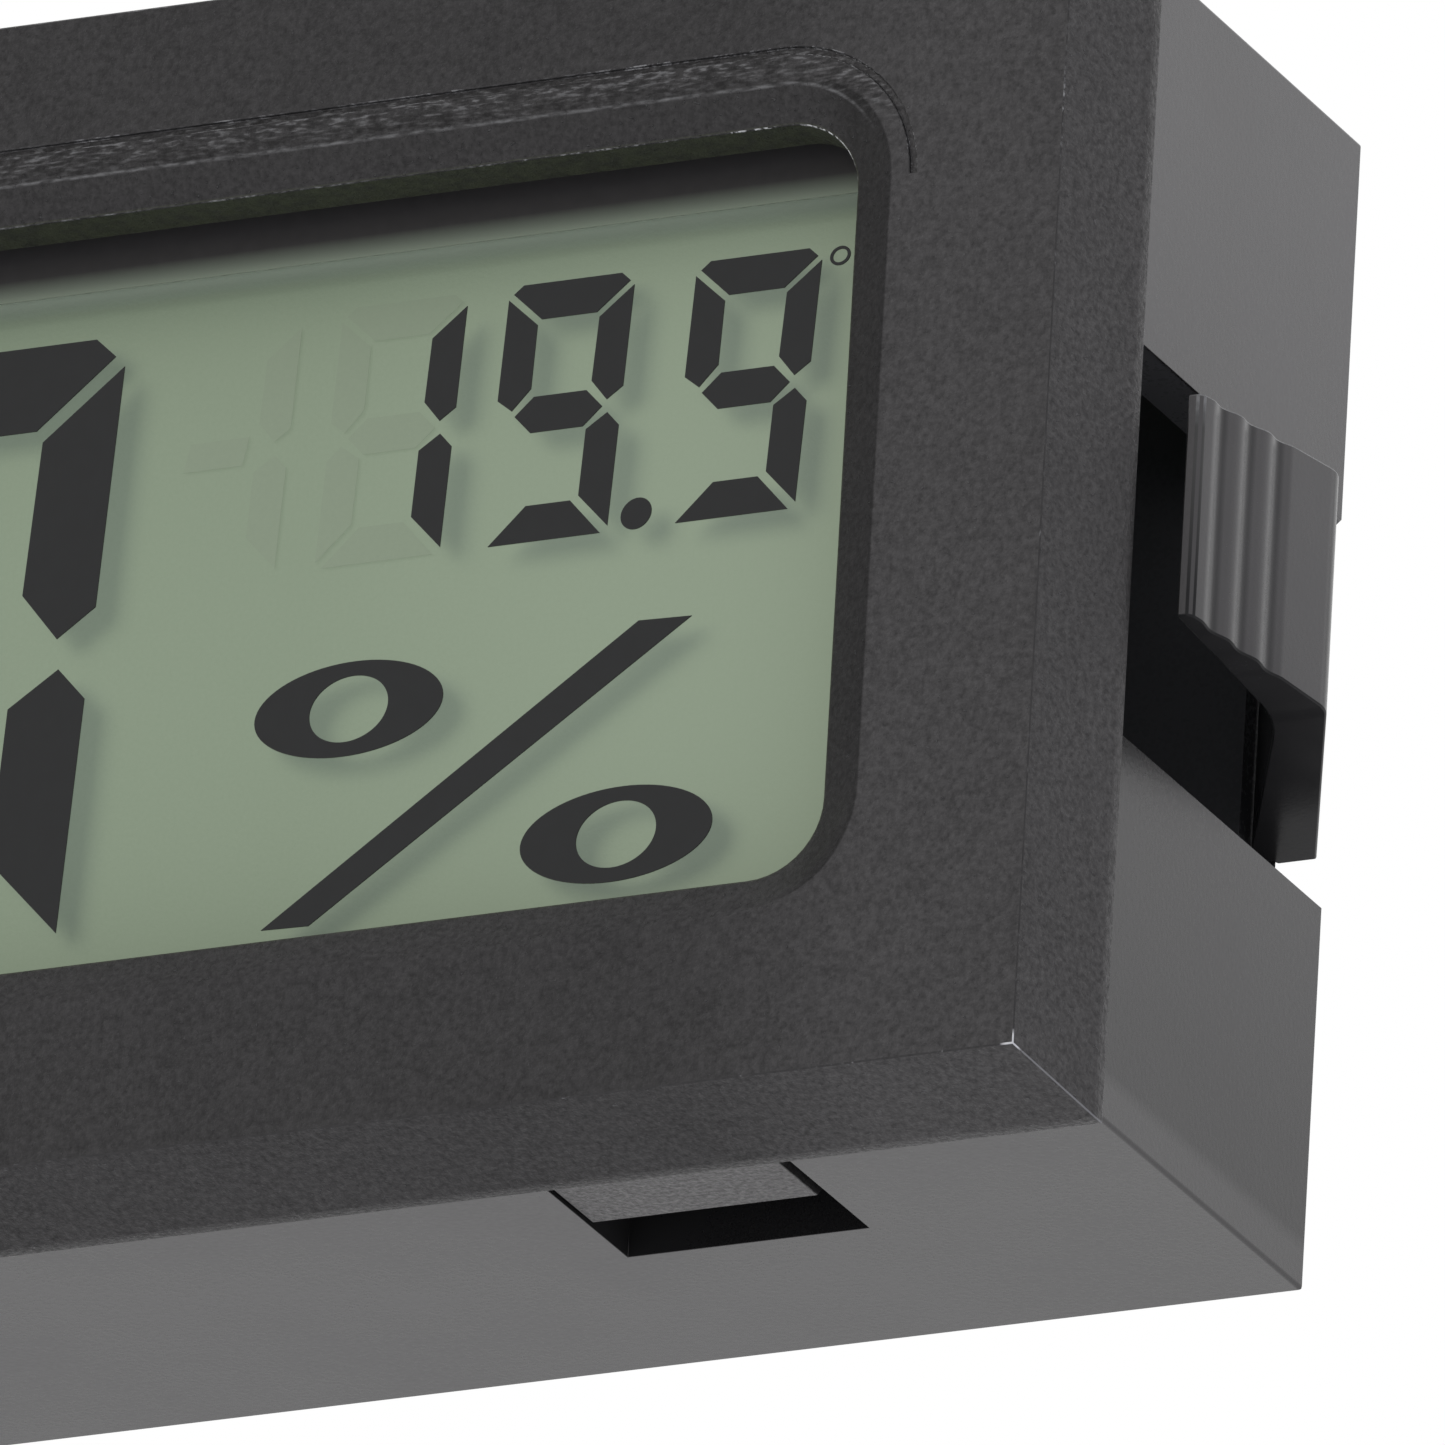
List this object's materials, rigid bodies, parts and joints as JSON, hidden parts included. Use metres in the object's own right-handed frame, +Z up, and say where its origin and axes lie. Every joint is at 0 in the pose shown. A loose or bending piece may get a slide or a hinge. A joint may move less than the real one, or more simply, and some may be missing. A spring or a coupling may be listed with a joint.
{
  "type": "panel hygrometer",
  "caption": "Digital panel-mount hygrometer and thermometer with a bevelled bezel, sprung side clips and a sliding rear battery door.",
  "frame": {"origin": "middle of the width, middle of the depth, level with the lowest edge of the bezel", "axes": "+X to the right as seen from the front, +Y towards the back, +Z up"},
  "size_m": [0.0518, 0.0152, 0.0286],
  "materials": {
    "bezel": "fine textured black moulding",
    "housing": "smooth satin black moulding",
    "clips": "smooth satin black moulding",
    "door": "smooth satin black moulding",
    "film": "polarising film",
    "glass": "clear display glass",
    "reflector": "grey-green reflector sheet",
    "frame": "white moulded frame",
    "strip": "pink and black contact rubber",
    "board": "green lacquered laminate",
    "screws": "zinc-plated steel",
    "dome": "black potting resin",
    "can": "drawn steel can",
    "chips": "black glazed chip body",
    "ceramic": "tan ceramic chip",
    "sensor": "white ceramic plate",
    "bead": "resin-dipped bead",
    "contacts": "nickel-plated spring strip",
    "cell": "bright nickel-plated can"
  },
  "bodies": {
    "root": {"front_bezel": "bezel", "rear_housing": "housing", "lcd_front_film": "film", "lcd_front_glass": "glass", "lcd_rear_glass": "glass", "lcd_reflector": "reflector", "lcd_frame": "frame", "contact_strip": "strip", "circuit_board": "board", "board_screws": "screws", "chip_dome": "dome", "clock_crystal": "can", "chip_resistors": "chips", "chip_capacitors": "ceramic", "humidity_sensor": "sensor", "temperature_bead": "bead", "positive_contact": "contacts", "negative_contact": "contacts", "coin_cell_1": "cell", "coin_cell_2": "cell"},
    "left_clip": {"left_clip_arm": "clips"},
    "right_clip": {"right_clip_arm": "clips"},
    "battery_door": {"battery_door": "door", "bridge_contact": "contacts"}
  },
  "joints": [
    {"name": "left_clip_flex", "type": "hinge", "parent": "root", "child": "left_clip", "pos_m": [-0.02205, 0.007, 0.0143], "axis": [0, 0, 1], "range_deg": [0, 25], "stiffness_Nm_per_rad": 0.05},
    {"name": "right_clip_flex", "type": "hinge", "parent": "root", "child": "right_clip", "pos_m": [0.02205, 0.007, 0.0143], "axis": [0, 0, -1], "range_deg": [0, 25], "stiffness_Nm_per_rad": 0.05},
    {"name": "battery_door_slide", "type": "slide", "parent": "root", "child": "battery_door", "axis": [0, 0, 1], "range_m": [0, 0.0144]}
  ]
}
